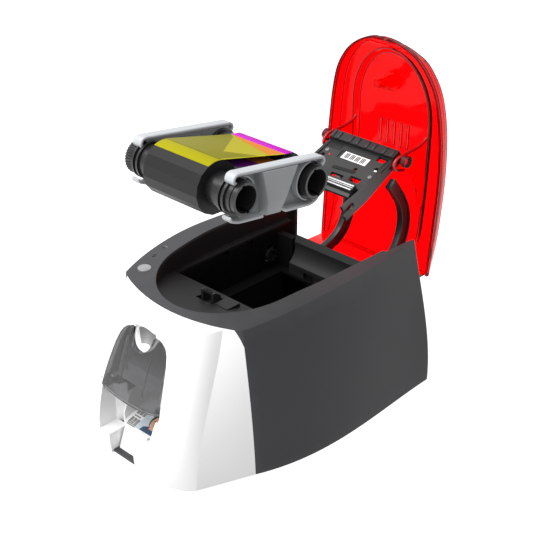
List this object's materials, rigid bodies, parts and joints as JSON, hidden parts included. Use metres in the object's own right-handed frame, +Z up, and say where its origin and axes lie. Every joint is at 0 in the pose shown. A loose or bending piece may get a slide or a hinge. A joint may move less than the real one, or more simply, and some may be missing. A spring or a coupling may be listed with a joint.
{
  "type": "id card printer",
  "caption": "Desktop card printer with a hinged see-through lid open, its ribbon cassette held above the bay, a clear front door and a card in the front tray.",
  "frame": {"origin": "on the table, under the middle of the printer's footprint", "axes": "+X to the printer's right seen from the front, +Y from the front to the back, +Z up"},
  "size_m": [0.2107, 0.3359, 0.2987],
  "materials": {
    "white_plastic": "gloss",
    "dark_plastic": "satin",
    "black_plastic": "matte",
    "grey_plastic": "satin",
    "button_grey": "satin",
    "red_clear": "gloss",
    "smoke_clear": "gloss",
    "light_clear": "gloss",
    "rubber": "matte",
    "roller_rubber": "matte",
    "steel": "satin",
    "alloy": "satin",
    "board_green": "satin",
    "gear_plastic": "satin",
    "core_black": "satin",
    "film_wound": "gloss",
    "film_yellow": "gloss",
    "card_white": "gloss",
    "card_print": "gloss",
    "label": "matte"
  },
  "bodies": {
    "base": {"front_shell": "white_plastic", "body_shell": "dark_plastic", "bay_collar": "black_plastic", "base_plate": "dark_plastic", "bay_tub": "black_plastic", "rear_beam": "black_plastic", "control_board": "board_green", "light_pipe": "light_clear", "card_hopper": "white_plastic", "foot_rear": "rubber", "foot_front_left": "rubber", "foot_front_right": "rubber", "foot_centre": "rubber", "frame_left": "steel", "frame_right": "steel", "motor_bracket": "steel", "drive_motor": "steel", "ribbon_motor": "steel", "hinge_pin": "steel", "hinge_bracket_left": "dark_plastic", "hinge_bracket_right": "dark_plastic", "cassette_plate_left": "grey_plastic", "cassette_plate_right": "grey_plastic", "ribbon_film": "film_yellow", "output_tray": "white_plastic", "printed_card": "card_print", "blank_cards": "card_white", "main_board": "board_green", "socket_bracket": "steel", "power_inlet": "black_plastic", "usb_socket": "steel"},
    "lid": {"lid_shell": "red_clear", "latch_tongue": "red_clear", "head_arm_left": "black_plastic", "head_arm_right": "black_plastic", "head_ear_left": "red_clear", "head_ear_right": "red_clear"},
    "head": {"head_carrier": "dark_plastic", "print_head_bar": "alloy", "head_label": "label"},
    "door": {"feeder_door": "smoke_clear"},
    "button": {"power_button": "button_grey"},
    "catch": {"lid_catch": "black_plastic"},
    "platen": {"platen_roller": "roller_rubber", "platen_shaft": "steel", "platen_gear": "gear_plastic"},
    "transport": {"transport_roller": "roller_rubber", "transport_shaft": "steel", "transport_gear": "gear_plastic"},
    "feed": {"feed_roller": "roller_rubber", "feed_shaft": "steel", "feed_gear": "gear_plastic"},
    "idler": {"idler_gear": "gear_plastic"},
    "feed_idler": {"feed_idler_gear": "gear_plastic"},
    "pinion": {"motor_pinion": "gear_plastic"},
    "hub": {"ribbon_hub": "core_black"},
    "supply": {"supply_spool": "core_black", "supply_roll": "film_wound"},
    "takeup": {"takeup_spool": "core_black", "takeup_roll": "film_wound"}
  },
  "joints": [
    {"name": "lid_hinge", "type": "hinge", "parent": "base", "child": "lid", "pos_m": [0, 0.126, 0.09], "axis": [1, 0, 0], "range_deg": [0, 92]},
    {"name": "head_tilt", "type": "hinge", "parent": "lid", "child": "head", "pos_m": [0, 0.153, 0.2], "axis": [1, 0, 0], "range_deg": [-6, 0]},
    {"name": "feeder_door_hinge", "type": "hinge", "parent": "base", "child": "door", "pos_m": [0, -0.1306, 0.0671], "axis": [1, 0, 0], "range_deg": [0, 60]},
    {"name": "power_button_press", "type": "slide", "parent": "base", "child": "button", "axis": [0, 0, -1], "range_m": [0, 0.001], "stiffness_N_per_m": 300, "springref_m": -0.0005},
    {"name": "catch_release", "type": "slide", "parent": "base", "child": "catch", "axis": [0, -1, 0], "range_m": [0, 0.003], "stiffness_N_per_m": 200, "springref_m": -0.002},
    {"name": "platen_spin", "type": "hinge", "parent": "base", "child": "platen", "pos_m": [0, 0.043, 0.051], "axis": [1, 0, 0], "continuous": true},
    {"name": "idler_spin", "type": "hinge", "parent": "base", "child": "idler", "pos_m": [0, 0.01923, 0.04766], "axis": [1, 0, 0], "continuous": true},
    {"name": "transport_spin", "type": "hinge", "parent": "base", "child": "transport", "pos_m": [0, -0.00453, 0.051], "axis": [1, 0, 0], "continuous": true},
    {"name": "feed_idler_spin", "type": "hinge", "parent": "base", "child": "feed_idler", "pos_m": [0, -0.02723, 0.05881], "axis": [1, 0, 0], "continuous": true},
    {"name": "feed_spin", "type": "hinge", "parent": "base", "child": "feed", "pos_m": [0, -0.04992, 0.06663], "axis": [1, 0, 0], "continuous": true},
    {"name": "pinion_spin", "type": "hinge", "parent": "base", "child": "pinion", "pos_m": [0, 0.05457, 0.03721], "axis": [1, 0, 0], "continuous": true},
    {"name": "ribbon_hub_spin", "type": "hinge", "parent": "base", "child": "hub", "pos_m": [-0.06, 0.09, 0.093], "axis": [1, 0, 0], "continuous": true},
    {"name": "supply_spin", "type": "hinge", "parent": "base", "child": "supply", "pos_m": [0.0517, -0.11059, 0.27167], "axis": [1, 0, 0], "continuous": true},
    {"name": "takeup_spin", "type": "hinge", "parent": "base", "child": "takeup", "pos_m": [0.0517, -0.03671, 0.26063], "axis": [1, 0, 0], "continuous": true}
  ],
  "couplings": [
    {"joint": "idler_spin", "follows": "platen_spin", "ratio": -1},
    {"joint": "transport_spin", "follows": "platen_spin", "ratio": 1},
    {"joint": "feed_idler_spin", "follows": "platen_spin", "ratio": -1},
    {"joint": "feed_spin", "follows": "platen_spin", "ratio": 1},
    {"joint": "pinion_spin", "follows": "platen_spin", "ratio": -2},
    {"joint": "takeup_spin", "follows": "supply_spin", "ratio": 1.3667}
  ]
}
